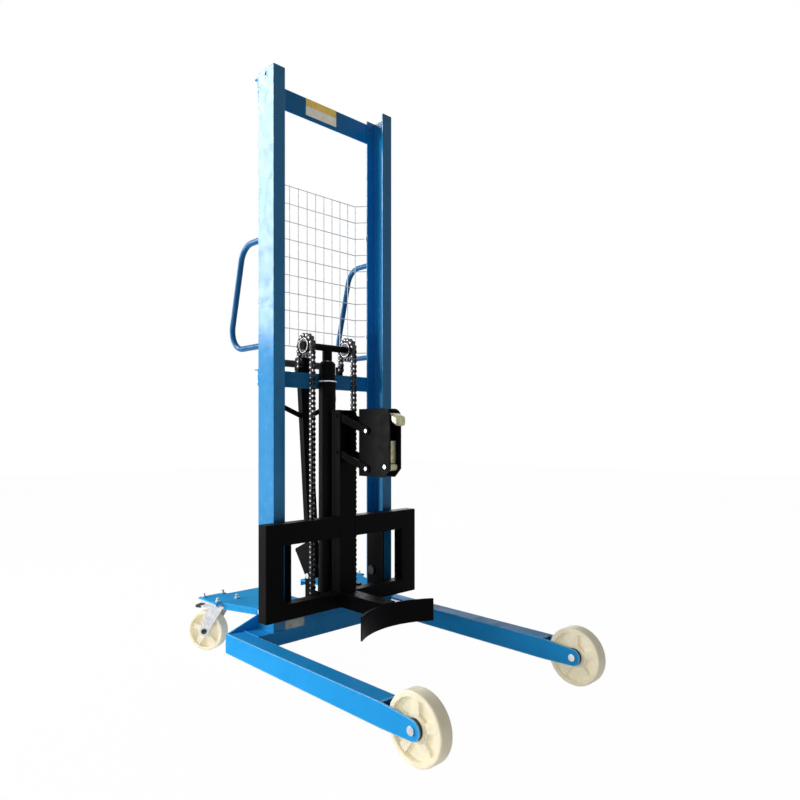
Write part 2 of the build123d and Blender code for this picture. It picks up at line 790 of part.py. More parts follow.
# Clamp head: two side plates, a beak welded between them over the drum rim and a swinging jaw under it
clamp_top_z = head_pin_z + clamp_above
clamp_front_y = head_pin_y - clamp_front
clamp_rear_y = head_pin_y + clamp_rear
jaw_pin_y = head_pin_y - jaw_pin_ahead
jaw_pin_z = head_pin_z - jaw_pin_below
beak_mid_y = head_pin_y - clamp_front / 2
beak_mid_z = head_pin_z + clamp_above / 2
head_pins = [(head_pin_y, z) for z in head_pin_zs] + [(jaw_pin_y, jaw_pin_z)]
with BuildPart() as clamp_plates:
    for side in (-1, 1):
        with BuildSketch(Plane.YZ.offset(side * (clamp_x + clamp_plate_t / 2))):
            with BuildLine():
                Polyline(
                    (clamp_rear_y, clamp_top_z),
                    (clamp_front_y + clamp_round, clamp_top_z),
                    (clamp_front_y, clamp_top_z - clamp_round),
                    (clamp_front_y, clamp_top_z - clamp_h + clamp_chamfer),
                    (clamp_front_y + clamp_chamfer, clamp_top_z - clamp_h),
                    (clamp_rear_y, clamp_top_z - clamp_h),
                    close=True,
                )
            make_face()
            with Locations((clamp_front_y + clamp_round, clamp_top_z - clamp_round)):
                Circle(clamp_round)
            with Locations(head_pins):
                Circle(link_pin_r + run_gap, mode=Mode.SUBTRACT)
        extrude(amount=clamp_plate_t / 2, both=True)
save(clamp_plates.part, "clamp_plates")

beak_tip_y = clamp_front_y - mouth_depth
with BuildPart() as clamp_beak:
    with BuildSketch(Plane.YZ):
        with BuildLine():
            Polyline(
                (beak_mid_y + beak_h / 2, beak_mid_z + beak_h / 2),
                (clamp_front_y, beak_mid_z + beak_h / 2),
                (beak_tip_y, beak_mid_z + beak_h / 4),
                (beak_tip_y, beak_mid_z - beak_h / 2),
                (beak_tip_y + beak_h / 4, beak_mid_z - beak_h / 2),
                (clamp_front_y, beak_mid_z - beak_h / 4),
                (beak_mid_y + beak_h / 2, beak_mid_z - beak_h / 2),
                close=True,
            )
        make_face()
    extrude(amount=clamp_x, both=True)
save(clamp_beak.part, "clamp_beak")

with BuildPart() as clamp_jaw:
    with BuildSketch(Plane.YZ):
        with Locations((jaw_pin_y, jaw_pin_z)):
            Circle(jaw_d / 2 + jaw_lean)
        with Locations((jaw_pin_y + jaw_lean, jaw_pin_z + jaw_h / 2)):
            Rectangle(jaw_d, jaw_h)
        with Locations((jaw_pin_y, jaw_pin_z)):
            Circle(link_pin_r + run_gap, mode=Mode.SUBTRACT)
    extrude(amount=jaw_w / 2, both=True)
save(clamp_jaw.part, "clamp_jaw")

clamp_half = clamp_x + clamp_plate_t
with BuildPart() as clamp_pins:
    with Locations([(0, head_pin_y, z) for z in head_pin_zs]):
        Cylinder(link_pin_r, 2 * link_pin_half, rotation=(0, 90, 0))
    with Locations((0, jaw_pin_y, jaw_pin_z)):
        Cylinder(link_pin_r, 2 * clamp_half, rotation=(0, 90, 0))
    for side in (-1, 1):
        cap_x = side * (link_pin_half + pin_cap_t / 2)
        with Locations([(cap_x, head_pin_y, z) for z in head_pin_zs]):
            Cylinder(pin_cap_r, pin_cap_t, rotation=(0, 90, 0))
        clamp_cap_x = side * (clamp_half + pin_cap_t / 2)
        with Locations((clamp_cap_x, jaw_pin_y, jaw_pin_z)):
            Cylinder(pin_cap_r, pin_cap_t, rotation=(0, 90, 0))
save(clamp_pins.part, "clamp_pins")


def nylon_wheel(centre, tread_r, width, hub_half, hub_r, bore, seat_r, seat_w):
    """One spoked wheel on an X axis, with a seat in each hub end where seat_w is over zero."""
    rim_t = rim_share * tread_r
    web_half = web_share * width
    rib_w = rib_share * tread_r
    rib_half = width / 2 - rib_w / 4
    with BuildPart() as wheel:
        with BuildSketch(Plane.YZ.offset(centre[0])):
            with Locations(centre[1:]):
                Circle(tread_r)
                Circle(tread_r - rim_t, mode=Mode.SUBTRACT)
        extrude(amount=width / 2, both=True)
        fillet(wheel.edges().filter_by(GeomType.CIRCLE).group_by(SortBy.RADIUS)[-1], shoulder_share * tread_r)
        with BuildSketch(Plane.YZ.offset(centre[0])):
            with Locations(centre[1:]):
                Circle(tread_r - rim_t / 2)
        extrude(amount=web_half, both=True)
        with BuildSketch(Plane.YZ.offset(centre[0])):
            with Locations(centre[1:]):
                Circle(hub_r)
        extrude(amount=hub_half, both=True)
        with BuildSketch(Plane.YZ.offset(centre[0])):
            with Locations(centre[1:]):
                with PolarLocations((tread_r - rim_t / 2) / 2, wheel_rib_count, start_angle=rib_start):
                    Rectangle(tread_r - rim_t / 2, rib_w)
        extrude(amount=rib_half, both=True)
        with BuildSketch(Plane.YZ.offset(centre[0])):
            with Locations(centre[1:]):
                Circle(bore)
        extrude(amount=width, both=True, mode=Mode.SUBTRACT)
        if seat_w > 0:
            for end in (-1, 1):
                with Locations((centre[0] + end * (hub_half - seat_w / 2), centre[1], centre[2])):
                    Cylinder(seat_r, seat_w, rotation=(0, 90, 0), mode=Mode.SUBTRACT)
    return wheel.part


# Front wheels, with a bearing in each hub end that stands out to the fork plate
hub_half = leg_w / 2 - leg_wall - free_gap - bearing_show
bearing_mid = hub_half + bearing_show - bearing_w / 2
for side in (-1, 1):
    wheel_centre = (side * leg_x, front_axle_y, front_axle_z)
    front_wheel = nylon_wheel(
        wheel_centre,
        front_wheel_r,
        front_wheel_w,
        hub_half,
        front_hub_r,
        front_bore_r,
        bearing_r,
        bearing_w - bearing_show,
    )
    save(front_wheel, f"front_wheel_{side_name(side)}")
    with BuildPart() as wheel_bearings:
        for end in (-1, 1):
            with Locations((wheel_centre[0] + end * bearing_mid, front_axle_y, front_axle_z)):
                Cylinder(bearing_r, bearing_w, rotation=(0, 90, 0))
                Cylinder(front_axle_r + run_gap, 2 * bearing_w, rotation=(0, 90, 0), mode=Mode.SUBTRACT)
    save(wheel_bearings.part, f"wheel_bearings_{side_name(side)}")

with BuildPart() as front_axles:
    for side in (-1, 1):
        with Locations((side * leg_x, front_axle_y, front_axle_z)):
            Cylinder(front_axle_r, leg_w, rotation=(0, 90, 0))
        for end in (-1, 1):
            with BuildSketch(Plane.YZ.offset(side * leg_x + end * leg_w / 2)):
                with Locations((front_axle_y, front_axle_z)):
                    Circle(axle_end_r)
            extrude(amount=end * axle_end_t)
save(front_axles.part, "front_axles")

# Casters: top plates with swivel races, and forks, wheels, axles and brake pedals turned about the swivel
caster_top_z = platform_z - caster_plate_t
race_low_z = caster_top_z - caster_race_h
fork_top_z = race_low_z - curve_gap
fork_half = caster_w / 2 + 2 * free_gap
kingpin_len = caster_race_h + caster_head_h
swivels = [(side * caster_x, swivel_y) for side in (-1, 1)]
with BuildPart() as caster_plates:
    with BuildSketch(Plane.XY.offset(caster_top_z)):
        with Locations(swivels):
            Rectangle(caster_plate_w, caster_plate_l)
            with GridLocations(caster_hole_x, caster_hole_y, 2, 2):
                Circle(caster_bolt_r + run_gap, mode=Mode.SUBTRACT)
    extrude(amount=caster_plate_t)
    with BuildSketch(Plane.XY.offset(caster_top_z)):
        with Locations(swivels):
            Circle(caster_race_r)
    extrude(amount=-caster_race_h)
    with BuildSketch(Plane.XY.offset(caster_top_z)):
        with Locations(swivels):
            Circle(kingpin_r)
    extrude(amount=-kingpin_len)
save(caster_plates.part, "caster_plates")

with BuildPart() as caster_bolts:
    for low_z, height, hexagonal in (
        (caster_top_z - bolt_head_t, bolt_head_t, True),
        (caster_top_z, caster_plate_t + platform_t + bolt_top, False),
        (platform_z + platform_t, bolt_head_t, True),
    ):
        with BuildSketch(Plane.XY.offset(low_z)):
            with Locations(swivels):
                with GridLocations(caster_hole_x, caster_hole_y, 2, 2):
                    if hexagonal:
                        RegularPolygon(hex_ratio * caster_bolt_r, 6)
                    else:
                        Circle(caster_bolt_r)
        extrude(amount=height)
save(caster_bolts.part, "caster_bolts")

pedal_pin_y = swivel_y + pedal_pin_back
pedal_pin_z = fork_top_z - caster_head_h - pedal_t / 2
caster_axle_z = caster_r
for side in (-1, 1):
    fork_x = side * caster_x
    swivel_axis = Axis((fork_x, swivel_y, 0), (0, 0, 1))
    with BuildPart() as caster_fork:
        with Locations((fork_x, swivel_y - fork_reach / 3, fork_top_z - caster_head_h / 2)):
            Box(2 * (fork_half + caster_fork_t), 4 * fork_reach / 3, caster_head_h)
        for cheek in (-1, 1):
            with BuildSketch(Plane.YZ.offset(fork_x + cheek * (fork_half + caster_fork_t / 2))):
                with BuildLine():
                    Polyline(
                        (swivel_y - fork_reach, fork_top_z),
                        (swivel_y + fork_reach, fork_top_z),
                        (caster_axle_y + fork_foot_r, caster_axle_z),
                        (caster_axle_y - fork_foot_r, caster_axle_z),
                        close=True,
                    )
                make_face()
                with Locations((caster_axle_y, caster_axle_z)):
                    Circle(fork_foot_r)
                    Circle(caster_axle_r + run_gap, mode=Mode.SUBTRACT)
            extrude(amount=caster_fork_t / 2, both=True)
        with Locations((fork_x, pedal_pin_y, pedal_pin_z)):
            Cylinder(pedal_pin_r, 2 * fork_half + caster_fork_t, rotation=(0, 90, 0))
        with Locations((fork_x, swivel_y, fork_top_z)):
            Cylinder(kingpin_r + run_gap, 4 * caster_head_h, mode=Mode.SUBTRACT)
    save(caster_fork.part.rotate(swivel_axis, caster_turn), f"caster_fork_{side_name(side)}")

    caster_wheel = nylon_wheel(
        (fork_x, caster_axle_y, caster_axle_z),
        caster_r,
        caster_w,
        fork_half - free_gap,
        caster_hub_r,
        caster_axle_r + run_gap,
        0,
        0,
    )
    save(caster_wheel.rotate(swivel_axis, caster_turn), f"caster_wheel_{side_name(side)}")

    with BuildPart() as caster_axle:
        axle_half = fork_half + caster_fork_t
        with Locations((fork_x, caster_axle_y, caster_axle_z)):
            Cylinder(caster_axle_r, 2 * axle_half + 2 * bolt_head_t, rotation=(0, 90, 0))
        for end in (-1, 1):
            with BuildSketch(Plane.YZ.offset(fork_x + end * axle_half)):
                with Locations((caster_axle_y, caster_axle_z)):
                    RegularPolygon(hex_ratio * caster_axle_r, 6)
            extrude(amount=end * bolt_head_t)
    save(caster_axle.part.rotate(swivel_axis, caster_turn), f"caster_axle_{side_name(side)}")

    with BuildPart() as caster_pedal:
        with BuildSketch(Plane.YZ.offset(fork_x)):
            with Locations((pedal_pin_y, pedal_pin_z)):
                Circle(pedal_hub_r)
            with Locations((pedal_pin_y + pedal_reach / 2, pedal_pin_z)):
                Rectangle(pedal_reach, pedal_t)
            with Locations((pedal_pin_y, pedal_pin_z)):
                Circle(pedal_pin_r + run_gap, mode=Mode.SUBTRACT)
        extrude(amount=pedal_w / 2, both=True)
    save(caster_pedal.part.rotate(swivel_axis, caster_turn), f"caster_pedal_{side_name(side)}")

# Pump block with ears for the tiller, its plunger and the return spring
ear_x = tiller_hub_w / 2 + free_gap + ear_t / 2
ear_h = pivot_z + 2 * pivot_r - pump_top_z
with BuildPart() as pump_body:
    with Locations((0, back_plate_y + pump_d / 2, pump_z + pump_h / 2)):
        Box(pump_w, pump_d, pump_h)
    with Locations((0, plunger_y, pump_top_z - (plunger_depth + plunger_stroke_room) / 2)):
        Cylinder(plunger_r + run_gap, plunger_depth + plunger_stroke_room, mode=Mode.SUBTRACT)
    for side in (-1, 1):
        with Locations((side * ear_x, back_plate_y + ear_d / 2, pump_top_z + ear_h / 2)):
            Box(ear_t, ear_d, ear_h)
    with Locations((0, pivot_y, pivot_z)):
        Cylinder(pivot_r + run_gap, pump_w, rotation=(0, 90, 0), mode=Mode.SUBTRACT)
save(pump_body.part, "pump_body")

tiller_pin_half = ear_x + ear_t / 2
with BuildPart() as tiller_pin:
    with Locations((0, pivot_y, pivot_z)):
        Cylinder(pivot_r, 2 * tiller_pin_half, rotation=(0, 90, 0))
    for side in (-1, 1):
        with Locations((side * (tiller_pin_half + pin_cap_t / 2), pivot_y, pivot_z)):
            Cylinder(cap_ratio * pivot_r, pin_cap_t, rotation=(0, 90, 0))
save(tiller_pin.part, "tiller_pin")

plunger_head_z = pump_top_z + spring_len
with BuildPart() as plunger:
    with Locations((0, plunger_y, pump_top_z - plunger_depth)):
        Cylinder(plunger_r, plunger_depth + spring_len, align=(Align.CENTER, Align.CENTER, Align.MIN))
    with Locations((0, plunger_y, plunger_head_z)):
        Cylinder(plunger_head_r, plunger_head_t, align=(Align.CENTER, Align.CENTER, Align.MIN))
save(plunger.part, "plunger")

# Return spring: a helix of quarter-turn biarcs
spring_low_z = pump_top_z + spring_wire_r + curve_gap
spring_rise = spring_len - 2 * (spring_wire_r + curve_gap)
turn_rise = spring_rise / spring_turns


def spring_point(turn):
    angle = radians(360 * turn)
    return Vector(spring_r * cos(angle), plunger_y + spring_r * sin(angle), spring_low_z + turn_rise * turn)


def spring_tangent(turn):
    angle = radians(360 * turn)
    slope = turn_rise / radians(360)
    return Vector(-spring_r * sin(angle), spring_r * cos(angle), slope).normalized()


quarter_turns = [step / 4 for step in range(4 * spring_turns)]
with BuildPart() as pump_spring:
    with BuildLine() as spring_path:
        for turn in quarter_turns:
            start, end = spring_point(turn), spring_point(turn + 0.25)
            start_dir, end_dir = spring_tangent(turn), spring_tangent(turn + 0.25)
            span = end - start
            both_dirs = start_dir + end_dir
            square = 2 * (1 - start_dir.dot(end_dir))
            handle = (sqrt(span.dot(both_dirs) ** 2 + square * span.dot(span)) - span.dot(both_dirs)) / square
            joint = (start + start_dir * handle + end - end_dir * handle) * 0.5
            first_arc = TangentArc(start, joint, tangent=start_dir)
            TangentArc(joint, end, tangent=first_arc % 1)
    with BuildSketch(Plane(origin=spring_point(0), z_dir=spring_tangent(0))):
        Circle(spring_wire_r)
    sweep(path=spring_path.wire())
save(pump_spring.part, "pump_spring")
samples = [spring_point(step / spring_samples) for step in range(spring_samples * spring_turns + 1)]
turn_pairs = zip(samples, samples[spring_samples:])
spring_gap = min((upper - lower).length for lower, upper in turn_pairs) - 2 * spring_wire_r
print(f"pump spring least gap to itself {spring_gap:.2f} mm")

# Tiller: cheeks on the pivot, column, loop handle and control head as one weldment
cheek_x = (column_w - cheek_t) / 2
cam_w = column_w - 2 * cheek_t - 2 * free_gap
cheek_top_point = tiller_plane.from_local_coords(Vector(0, 0, cheek_top))
toe_y, toe_z = pivot_y + toe_back, pivot_z + toe_rise
with BuildPart() as tiller:
    with BuildSketch(tiller_plane.offset(column_foot)):
        Rectangle(column_w, column_d)
    extrude(amount=tiller_len - column_foot)
    with BuildSketch(tiller_plane.offset(tiller_len - head_box_h / 2)):
        Rectangle(head_box_w, head_box_d)
    extrude(amount=head_box_h)
    with BuildLine() as loop_path:
        FilletPolyline(
            *[
                tiller_plane.from_local_coords((x, 0, z))
                for x, z in (
                    (0, loop_join),
                    (loop_half, loop_shoulder),
                    (loop_half, loop_top),
                    (-loop_half, loop_top),
                    (-loop_half, loop_shoulder),
                    (0, loop_join),
                )
            ],
            radius=loop_bend,
        )
    with BuildSketch(Plane(origin=loop_path.wire() @ 0, z_dir=loop_path.wire() % 0)):
        Circle(loop_r)
    sweep(path=loop_path.wire())
    with BuildSketch(tiller_plane.offset(column_foot)):
        Rectangle(column_w - 2 * column_wall, column_d - 2 * column_wall)
    extrude(amount=tiller_len - head_box_h / 2 - column_foot, mode=Mode.SUBTRACT)
    for side in (-1, 1):
        with BuildSketch(Plane.YZ.offset(side * cheek_x)):
            with BuildLine():
                Polyline(
                    (pivot_y, pivot_z - tiller_hub_r),
                    (plunger_y, cam_z - cam_r),
                    (toe_y + toe_r, toe_z),
                    (toe_y, toe_z + toe_r),
                    (cheek_top_point.Y + column_d / 2, cheek_top_point.Z),
                    (cheek_top_point.Y - column_d / 2, cheek_top_point.Z),
                    (pivot_y - tiller_hub_r, pivot_z),
                    close=True,
                )
            make_face()
            with Locations((toe_y, toe_z)):
                Circle(toe_r)
        extrude(amount=cheek_t / 2, both=True)
    with Locations((0, plunger_y, cam_z)):
        Cylinder(cam_r / 2, 2 * cheek_x, rotation=(0, 90, 0))
    with Locations((0, pivot_y, pivot_z)):
        Cylinder(tiller_hub_r, tiller_hub_w, rotation=(0, 90, 0))
        Cylinder(pivot_r + run_gap, 2 * tiller_hub_w, rotation=(0, 90, 0), mode=Mode.SUBTRACT)
    with Locations(tiller_plane):
        with Locations((0, 0, loop_top - release_drop)):
            Cylinder(release_pin_r, head_box_w + 4 * release_pin_r, rotation=(0, 90, 0))
save(tiller.part, "tiller")

with BuildPart() as cam_roller:
    with Locations((0, plunger_y, cam_z)):
        Cylinder(cam_r, cam_w, rotation=(0, 90, 0))
        Cylinder(cam_r / 2 + run_gap, 2 * cam_w, rotation=(0, 90, 0), mode=Mode.SUBTRACT)
save(cam_roller.part, "cam_roller")

# Rubber grips on the loop's top bar, and the release lever that straddles the control head
grip_len = loop_half - loop_bend - head_box_w / 2 - 2 * grip_wall
with BuildPart() as tiller_grips:
    for side in (-1, 1):
        with Locations(tiller_plane):
            with Locations((side * (head_box_w / 2 + grip_wall + grip_len / 2), 0, loop_top)):
                Cylinder(loop_r + grip_wall, grip_len, rotation=(0, 90, 0))
                Cylinder(loop_r + run_gap, 2 * grip_len, rotation=(0, 90, 0), mode=Mode.SUBTRACT)
save(tiller_grips.part, "tiller_grips")

release_x = head_box_w / 2 + free_gap + release_t / 2
release_plane = Plane(
    origin=tiller_plane.from_local_coords((0, 0, loop_top - release_drop)),
    x_dir=(0, 1, 0),
    z_dir=(1, 0, 0),
)
with BuildPart() as release_lever:
    for side in (-1, 1):
        with BuildSketch(release_plane.offset(side * release_x)):
            with Locations((release_len / 4, 0)):
                SlotCenterToCenter(release_len / 2, release_w)
            Circle(release_pin_r + run_gap, mode=Mode.SUBTRACT)
        extrude(amount=release_t / 2, both=True)
    with BuildSketch(release_plane):
        with Locations((release_len / 2, 0)):
            Circle(release_w / 2)
    extrude(amount=release_x + release_t / 2, both=True)
save(release_lever.part, "release_lever")
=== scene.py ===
"""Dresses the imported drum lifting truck: finishes, rounded edges, chains, wire guard, plates and welds."""

import json
from math import atan2, cos, pi, radians, sin

import bmesh
import bpy
from mathutils import Matrix, Vector


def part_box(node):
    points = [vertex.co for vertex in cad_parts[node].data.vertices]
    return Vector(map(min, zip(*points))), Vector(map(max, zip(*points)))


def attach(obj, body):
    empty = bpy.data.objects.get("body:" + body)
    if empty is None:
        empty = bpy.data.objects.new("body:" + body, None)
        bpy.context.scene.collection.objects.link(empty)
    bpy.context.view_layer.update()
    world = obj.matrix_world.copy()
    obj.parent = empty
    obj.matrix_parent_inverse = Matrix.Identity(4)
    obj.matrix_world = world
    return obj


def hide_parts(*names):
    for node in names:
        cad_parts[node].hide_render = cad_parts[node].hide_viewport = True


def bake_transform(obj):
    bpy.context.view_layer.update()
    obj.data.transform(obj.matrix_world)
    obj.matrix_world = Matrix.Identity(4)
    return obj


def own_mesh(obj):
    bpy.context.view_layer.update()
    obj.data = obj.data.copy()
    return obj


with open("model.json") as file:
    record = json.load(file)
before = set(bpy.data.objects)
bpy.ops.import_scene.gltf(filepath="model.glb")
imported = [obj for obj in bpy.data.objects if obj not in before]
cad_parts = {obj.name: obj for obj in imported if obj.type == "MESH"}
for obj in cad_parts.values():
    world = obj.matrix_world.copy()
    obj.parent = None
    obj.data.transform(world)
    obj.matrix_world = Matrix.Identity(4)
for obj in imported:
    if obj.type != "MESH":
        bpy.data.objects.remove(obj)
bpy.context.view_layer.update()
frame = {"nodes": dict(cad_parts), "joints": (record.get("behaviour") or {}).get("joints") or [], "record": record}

nodes = frame["nodes"]
node_bodies = {node: body for body, names in frame["record"]["behaviour"]["bodies"].items() for node in names}
node_slots = {part["node"]: part["material_slot"] for part in frame["record"]["subparts"]}
joints = {joint["name"]: joint for joint in frame["joints"]}


class Finish:
    """A material with one Principled shader, and short calls that put texture nodes in front of it."""

    def __init__(self, name, metallic=0.0, **values):
        self.material = bpy.data.materials.new(name)
        self.material.use_nodes = True
        self.tree = self.material.node_tree
        self.shader = self.tree.nodes["Principled BSDF"]
        self.shader.inputs["Metallic"].default_value = metallic
        for socket, value in values.items():
            self.shader.inputs[socket.replace("_", " ").title().replace("Ior", "IOR")].default_value = value
        self.place = self.add("ShaderNodeTexCoord").outputs["Object"]

    def add(self, kind, inputs=None, **settings):
        node = self.tree.nodes.new(kind)
        for name, value in settings.items():
            setattr(node, name, value)
        for socket, value in (inputs or {}).items():
            if isinstance(value, bpy.types.NodeSocket):
                self.tree.links.new(value, node.inputs[socket])
            else:
                node.inputs[socket].default_value = value
        return node

    def noise(self, scale, detail=3.0, stretch=(1, 1, 1)):
        place = self.add("ShaderNodeMapping", {"Vector": self.place, "Scale": stretch}).outputs[0]
        return self.add("ShaderNodeTexNoise", {"Vector": place, "Scale": scale, "Detail": detail}).outputs[0]

    def spread(self, value, low, high, out_low, out_high):
        sockets = {"Value": value, "From Min": low, "From Max": high, "To Min": out_low, "To Max": out_high}
        return self.add("ShaderNodeMapRange", sockets).outputs["Result"]

    def mix(self, share, first, second):
        node = self.add("ShaderNodeMix", {0: share}, data_type="RGBA")
        for socket, value in ((node.inputs[6], first), (node.inputs[7], second)):
            if isinstance(value, bpy.types.NodeSocket):
                self.tree.links.new(value, socket)
            else:
                socket.default_value = (*value, 1)
        return node.outputs[2]

    def edges(self, reach):
        """1 on edges that stand within reach of the point, 0 on open faces."""
        bevel = self.add("ShaderNodeBevel", {"Radius": reach}, samples=6).outputs[0]
        normal = self.add("ShaderNodeNewGeometry").outputs["Normal"]
        dot = self.add("ShaderNodeVectorMath", {0: bevel, 1: normal}, operation="DOT_PRODUCT")
        return self.spread(dot.outputs["Value"], 0.995, 0.9, 0, 1)

    def times(self, first, second):
        return self.add("ShaderNodeMath", {0: first, 1: second}, operation="MULTIPLY").outputs[0]

    def bump(self, height, strength, distance):
        node = self.add("ShaderNodeBump", {"Height": height, "Strength": strength, "Distance": distance})
        self.tree.links.new(node.outputs[0], self.shader.inputs["Normal"])

    def drive(self, socket, value):
        self.tree.links.new(value, self.shader.inputs[socket])


def painted(name, color, dark, edge, roughness, gloss, wear_and_highlight_range=(0.52, 0.68), reach=0.003, streaks=0.0):
    """Sprayed enamel: uneven gloss, cloudy colour, lighter edges (patchy rubbed wear with the default range, a
    painted highlight line where a low range covers whole edges), and orange peel or rolling marks along Z.
    """
    paint = Finish(name, specular_ior_level=gloss)
    cloud = paint.spread(paint.noise(5), 0.35, 0.65, 0, 1)
    # Lighter edge colour: patchy wear, and a painted highlight line when the range lets the mask cover whole edges
    worn_and_highlit_edges = paint.times(paint.edges(reach), paint.spread(paint.noise(60, 6), *wear_and_highlight_range, 0, 1))
    paint.drive("Base Color", paint.mix(worn_and_highlit_edges, paint.mix(cloud, dark, color), edge))
    paint.drive("Roughness", paint.spread(paint.noise(28, 5), 0.3, 0.7, roughness - 0.06, roughness + 0.1))
    if streaks:
        paint.bump(paint.noise(38, 3, (1, 1, 0.004)), streaks, 0.004)
    else:
        paint.bump(paint.noise(520, 2), 0.09, 0.0006)
    return paint.material


def bare_metal(name, color, shade, roughness, grain=(1, 1, 1)):
    """Plated or bare steel: clouded plating, uneven polish and fine grain."""
    metal = Finish(name, metallic=1.0)
    cloud = metal.spread(metal.noise(70, 5), 0.35, 0.68, 0, 1)
    metal.drive("Base Color", metal.mix(cloud, shade, color))
    polish = metal.noise(220, 4, grain)
    metal.drive("Roughness", metal.spread(polish, 0.3, 0.7, roughness - 0.08, roughness + 0.12))
    metal.bump(metal.noise(900, 2, grain), 0.12, 0.0003)
    return metal.material


def moulded_nylon():
    """Cast nylon: cream and mottled, scuffed on its edges, with a faint painted glow that lifts its shaded sides.
    """
    nylon = Finish(
        "cream_nylon", subsurface_weight=0.3, subsurface_scale=0.02, subsurface_radius=(1, 0.9, 0.7),
        # Emission: a painted glow that brightens the wheels in shade, though the nylon is no lamp
        emission_color=(1, 0.93, 0.71, 1), emission_strength=0.18,
    )
    cloud = nylon.spread(nylon.noise(22, 4), 0.35, 0.65, 0, 1)
    scuff = nylon.times(nylon.edges(0.004), nylon.spread(nylon.noise(90, 5), 0.5, 0.66, 0, 0.5))
    cream = nylon.mix(cloud, (0.7, 0.64, 0.47), (0.78, 0.72, 0.55))
    nylon.drive("Base Color", nylon.mix(scuff, cream, (0.5, 0.44, 0.32)))
    nylon.drive("Roughness", nylon.spread(nylon.noise(60), 0.3, 0.7, 0.36, 0.52))
    nylon.bump(nylon.noise(300, 3), 0.1, 0.0006)
    return nylon.material


def oiled_chain():
    """Oiled link plates and rollers, with the pin heads that stand out of them worn bright."""
    metal = Finish("oiled_chain", metallic=1.0)
    across = metal.add("ShaderNodeSeparateXYZ", {0: metal.place}).outputs[0]
    from_chain = across
    for middle in (0.0, chain_x):
        shifted = metal.add("ShaderNodeMath", {0: from_chain, 1: middle}, operation="SUBTRACT").outputs[0]
        from_chain = metal.add("ShaderNodeMath", {0: shifted}, operation="ABSOLUTE").outputs[0]
    heads = metal.spread(from_chain, outer_plate_x + 0.55 * link_t, outer_plate_x + 0.6 * link_t, 0, 1)
    cloud = metal.spread(metal.noise(70, 5), 0.35, 0.68, 0, 1)
    plates = metal.mix(cloud, (0.014, 0.014, 0.015), (0.045, 0.045, 0.047))
    metal.drive("Base Color", metal.mix(heads, plates, (0.6, 0.6, 0.6)))
    metal.drive("Roughness", metal.spread(metal.noise(220, 4), 0.3, 0.7, 0.26, 0.46))
    metal.bump(metal.noise(900, 2), 0.12, 0.0003)
    return metal.material


def soft_rubber():
    """Black grip rubber with fine ribs round its length."""
    rubber = Finish("grip_rubber")
    rubber.drive("Base Color", rubber.mix(rubber.noise(80, 4), (0.012, 0.012, 0.013), (0.03, 0.03, 0.032)))
    rubber.drive("Roughness", rubber.spread(rubber.noise(200), 0.3, 0.7, 0.62, 0.8))
    ribs = rubber.add("ShaderNodeTexWave", {"Vector": rubber.place, "Scale": 60.0}, bands_direction="X")
    rubber.bump(ribs.outputs[1], 0.4, 0.0008)
    return rubber.material


def printed_foil(name, color, shade):
    """Printed metal foil: a matt print that lets some of the metal's shine through."""
    foil = Finish(name, metallic=0.35)
    foil.drive("Base Color", foil.mix(foil.spread(foil.noise(40, 4), 0.35, 0.65, 0, 1), shade, color))
    foil.drive("Roughness", foil.spread(foil.noise(150), 0.3, 0.7, 0.3, 0.45))
    foil.bump(foil.noise(700, 2), 0.06, 0.0003)
    return foil.material


finishes = {
    "blue_paint": painted(
        "blue_enamel", (0.015, 0.31, 0.71), (0.012, 0.28, 0.65), (0.1, 0.45, 0.82), roughness=0.21, gloss=0.11
    ),
    "black_paint": painted(
        "black_enamel", (0.0045, 0.0045, 0.005), (0.003, 0.003, 0.0035), (0.02, 0.02, 0.022),
        roughness=0.4, gloss=0.03,
    ),
    "nylon": moulded_nylon(),
    "zinc": bare_metal("bright_zinc", (0.72, 0.73, 0.75), (0.55, 0.56, 0.58), 0.34),
    "yellow_zinc": bare_metal("yellow_zinc", (0.44, 0.43, 0.28), (0.28, 0.28, 0.17), 0.38),
    "wire": bare_metal("galvanised_wire", (0.62, 0.63, 0.65), (0.42, 0.43, 0.45), 0.42),
    "chain_steel": bare_metal("oiled_chain_steel", (0.07, 0.07, 0.072), (0.03, 0.03, 0.032), 0.34),
    "chrome": bare_metal("hard_chrome", (0.78, 0.78, 0.8), (0.66, 0.66, 0.69), 0.14, (1, 1, 0.02)),
    "rubber": soft_rubber(),
    "plate_metal": bare_metal("brushed_plate", (0.2, 0.21, 0.21), (0.14, 0.15, 0.15), 0.4, (0.02, 1, 1)),
    "plate_yellow": printed_foil("yellow_print", (0.85, 0.6, 0.12), (0.75, 0.5, 0.09)),
    "plate_white": printed_foil("white_print", (0.88, 0.83, 0.7), (0.8, 0.75, 0.62)),
    # Platform: matt from scuffing, and a lighter copy of the blue enamel as painted light on its top
    "scuffed_blue": painted(
        "scuffed_blue", (0.05, 0.42, 0.82), (0.03, 0.36, 0.74), (0.2, 0.55, 0.9), roughness=0.7, gloss=0.01
    ),
    # Legs: a slightly lighter copy of the blue enamel as painted light, with a pale painted highlight line along
    # nearly every edge
    "edged_blue": painted(
        "edged_blue", (0.024, 0.34, 0.77), (0.019, 0.31, 0.71), (0.5, 0.78, 0.97),
        roughness=0.3, gloss=0.012, wear_and_highlight_range=(0.1, 0.35), reach=0.0045,
    ),
    # Uprights: rolling streaks in the bump, and a darker copy of the blue enamel as painted shade
    "rolled_blue": painted(
        "rolled_blue", (0.016, 0.25, 0.56), (0.012, 0.22, 0.5), (0.1, 0.4, 0.75),
        roughness=0.2, gloss=0.22, streaks=0.35,
    ),
    # Handles: a much darker copy of the blue enamel as painted shade
    "tube_blue": painted(
        "tube_blue", (0.006, 0.13, 0.32), (0.005, 0.11, 0.28), (0.04, 0.2, 0.45), roughness=0.18, gloss=0.12
    ),
}
